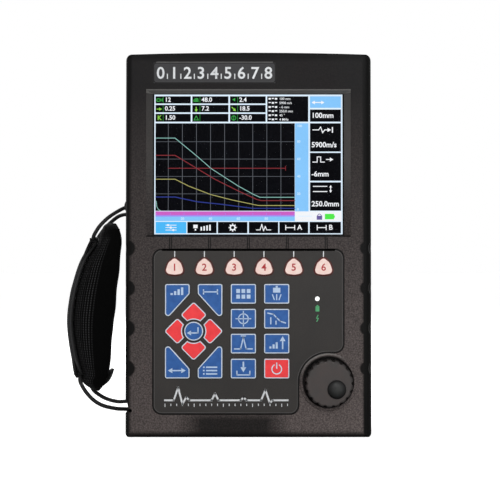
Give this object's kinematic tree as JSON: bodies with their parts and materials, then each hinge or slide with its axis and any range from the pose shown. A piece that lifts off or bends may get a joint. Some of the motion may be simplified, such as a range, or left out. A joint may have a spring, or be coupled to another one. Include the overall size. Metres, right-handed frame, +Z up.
{
  "type": "ultrasonic flaw detector",
  "caption": "Handheld ultrasonic flaw detector: upright case with screen, keypad, turning knob, padded side hand strap, rear stand, battery door and capped ports.",
  "frame": {"origin": "the flat bottom face that the instrument stands on, at mid width and, to within a millimetre, at mid depth, beside the seal", "axes": "+Z up the height of the case, +X towards the side opposite the hand strap, +Y out of the rear face; the screen and keys face -Y"},
  "size_m": [0.2135, 0.074, 0.2655],
  "materials": {
    "body_plastic": "fine texture",
    "rear_plastic": "fine texture",
    "panel_plastic": "fine texture",
    "plate_plastic": "satin",
    "knob_plastic": "satin",
    "spinner_plastic": "gloss",
    "window_glass": "clear",
    "display": "lit",
    "key_blue": "satin",
    "key_red": "satin",
    "key_blush": "satin",
    "lamp": "diffuse lens",
    "rubber_black": "matte",
    "board_green": "solder mask",
    "sheet_steel": "brushed",
    "pin_steel": "polished",
    "screw_steel": "plain",
    "socket_metal": "nickel",
    "contact_brass": "plated",
    "black_plastic": "plain",
    "battery_wrap": "wrap",
    "strap_fabric": "woven webbing",
    "pad_fabric": "mesh over foam",
    "cord_fabric": "braided cord"
  },
  "bodies": {
    "case": {"front_housing": "body_plastic", "rear_housing": "rear_plastic", "housing_seal": "rubber_black", "screen_window": "window_glass", "display_panel": "display", "display_bracket": "sheet_steel", "name_plate": "plate_plastic", "keypad_panel": "panel_plastic", "charge_lamp": "lamp", "keypad_board": "board_green", "main_board": "board_green", "pulser_shield": "sheet_steel", "buzzer": "black_plastic", "encoder_body": "sheet_steel", "probe_socket_send": "socket_metal", "probe_socket_receive": "socket_metal", "charge_socket": "black_plastic", "data_socket": "socket_metal", "battery_pack": "battery_wrap", "battery_contacts": "contact_brass", "door_pin": "pin_steel", "stand_pin": "pin_steel", "rear_feet": "rubber_black", "housing_screws": "screw_steel", "strap_pins": "pin_steel", "strap_cord_top": "cord_fabric", "strap_cord_bottom": "cord_fabric", "strap_webbing": "strap_fabric", "strap_pad": "pad_fabric"},
    "knob": {"knob": "knob_plastic", "encoder_shaft": "pin_steel"},
    "knob_spinner": {"knob_spinner": "spinner_plastic"},
    "stand": {"stand": "black_plastic"},
    "battery_door": {"battery_door": "rear_plastic"},
    "battery_screw": {"battery_screw": "screw_steel"},
    "port_cover": {"port_cover": "rubber_black"},
    "key_f1": {"key_f1": "key_blush"},
    "key_f2": {"key_f2": "key_blush"},
    "key_f3": {"key_f3": "key_blush"},
    "key_f4": {"key_f4": "key_blush"},
    "key_f5": {"key_f5": "key_blush"},
    "key_f6": {"key_f6": "key_blush"},
    "key_gain": {"key_gain": "key_blue"},
    "key_gate": {"key_gate": "key_blue"},
    "key_range": {"key_range": "key_blue"},
    "key_menu": {"key_menu": "key_blue"},
    "key_up": {"key_up": "key_red"},
    "key_down": {"key_down": "key_red"},
    "key_left": {"key_left": "key_red"},
    "key_right": {"key_right": "key_red"},
    "key_enter": {"key_enter": "key_blue"},
    "key_channel": {"key_channel": "key_blue"},
    "key_probe": {"key_probe": "key_blue"},
    "key_calibrate": {"key_calibrate": "key_blue"},
    "key_curve": {"key_curve": "key_blue"},
    "key_peak": {"key_peak": "key_blue"},
    "key_auto_gain": {"key_auto_gain": "key_blue"},
    "key_store": {"key_store": "key_blue"},
    "key_power": {"key_power": "key_red"}
  },
  "joints": [
    {"name": "knob_turn", "type": "hinge", "parent": "case", "child": "knob", "pos_m": [0.055, -0.03, 0.0379], "axis": [0, 1, 0], "continuous": true},
    {"name": "spinner_turn", "type": "hinge", "parent": "knob", "child": "knob_spinner", "pos_m": [0.06007, -0.0395, 0.03383], "axis": [0, 1, 0], "continuous": true},
    {"name": "stand_fold", "type": "hinge", "parent": "case", "child": "stand", "pos_m": [0, 0.0275, 0.192], "axis": [1, 0, 0], "range_deg": [0, 60]},
    {"name": "door_swing", "type": "hinge", "parent": "case", "child": "battery_door", "pos_m": [0, 0.0282, 0.0962], "axis": [1, 0, 0], "range_deg": [0, 90]},
    {"name": "screw_quarter_turn", "type": "hinge", "parent": "battery_door", "child": "battery_screw", "pos_m": [0, 0.0282, 0.01645], "axis": [0, 1, 0], "range_deg": [0, 90]},
    {"name": "port_cover_swing", "type": "hinge", "parent": "case", "child": "port_cover", "pos_m": [0.0837, 0.0125, 0.21], "axis": [0, -1, 0], "range_deg": [0, 100]},
    {"name": "key_f1_press", "type": "slide", "parent": "case", "child": "key_f1", "axis": [0, 1, 0], "range_m": [0, 0.0008], "stiffness_N_per_m": 400},
    {"name": "key_f2_press", "type": "slide", "parent": "case", "child": "key_f2", "axis": [0, 1, 0], "range_m": [0, 0.0008], "stiffness_N_per_m": 400},
    {"name": "key_f3_press", "type": "slide", "parent": "case", "child": "key_f3", "axis": [0, 1, 0], "range_m": [0, 0.0008], "stiffness_N_per_m": 400},
    {"name": "key_f4_press", "type": "slide", "parent": "case", "child": "key_f4", "axis": [0, 1, 0], "range_m": [0, 0.0008], "stiffness_N_per_m": 400},
    {"name": "key_f5_press", "type": "slide", "parent": "case", "child": "key_f5", "axis": [0, 1, 0], "range_m": [0, 0.0008], "stiffness_N_per_m": 400},
    {"name": "key_f6_press", "type": "slide", "parent": "case", "child": "key_f6", "axis": [0, 1, 0], "range_m": [0, 0.0008], "stiffness_N_per_m": 400},
    {"name": "key_gain_press", "type": "slide", "parent": "case", "child": "key_gain", "axis": [0, 1, 0], "range_m": [0, 0.0008], "stiffness_N_per_m": 400},
    {"name": "key_gate_press", "type": "slide", "parent": "case", "child": "key_gate", "axis": [0, 1, 0], "range_m": [0, 0.0008], "stiffness_N_per_m": 400},
    {"name": "key_range_press", "type": "slide", "parent": "case", "child": "key_range", "axis": [0, 1, 0], "range_m": [0, 0.0008], "stiffness_N_per_m": 400},
    {"name": "key_menu_press", "type": "slide", "parent": "case", "child": "key_menu", "axis": [0, 1, 0], "range_m": [0, 0.0008], "stiffness_N_per_m": 400},
    {"name": "key_up_press", "type": "slide", "parent": "case", "child": "key_up", "axis": [0, 1, 0], "range_m": [0, 0.0008], "stiffness_N_per_m": 400},
    {"name": "key_down_press", "type": "slide", "parent": "case", "child": "key_down", "axis": [0, 1, 0], "range_m": [0, 0.0008], "stiffness_N_per_m": 400},
    {"name": "key_left_press", "type": "slide", "parent": "case", "child": "key_left", "axis": [0, 1, 0], "range_m": [0, 0.0008], "stiffness_N_per_m": 400},
    {"name": "key_right_press", "type": "slide", "parent": "case", "child": "key_right", "axis": [0, 1, 0], "range_m": [0, 0.0008], "stiffness_N_per_m": 400},
    {"name": "key_enter_press", "type": "slide", "parent": "case", "child": "key_enter", "axis": [0, 1, 0], "range_m": [0, 0.0008], "stiffness_N_per_m": 400},
    {"name": "key_channel_press", "type": "slide", "parent": "case", "child": "key_channel", "axis": [0, 1, 0], "range_m": [0, 0.0008], "stiffness_N_per_m": 400},
    {"name": "key_probe_press", "type": "slide", "parent": "case", "child": "key_probe", "axis": [0, 1, 0], "range_m": [0, 0.0008], "stiffness_N_per_m": 400},
    {"name": "key_calibrate_press", "type": "slide", "parent": "case", "child": "key_calibrate", "axis": [0, 1, 0], "range_m": [0, 0.0008], "stiffness_N_per_m": 400},
    {"name": "key_curve_press", "type": "slide", "parent": "case", "child": "key_curve", "axis": [0, 1, 0], "range_m": [0, 0.0008], "stiffness_N_per_m": 400},
    {"name": "key_peak_press", "type": "slide", "parent": "case", "child": "key_peak", "axis": [0, 1, 0], "range_m": [0, 0.0008], "stiffness_N_per_m": 400},
    {"name": "key_auto_gain_press", "type": "slide", "parent": "case", "child": "key_auto_gain", "axis": [0, 1, 0], "range_m": [0, 0.0008], "stiffness_N_per_m": 400},
    {"name": "key_store_press", "type": "slide", "parent": "case", "child": "key_store", "axis": [0, 1, 0], "range_m": [0, 0.0008], "stiffness_N_per_m": 400},
    {"name": "key_power_press", "type": "slide", "parent": "case", "child": "key_power", "axis": [0, 1, 0], "range_m": [0, 0.0008], "stiffness_N_per_m": 400}
  ]
}
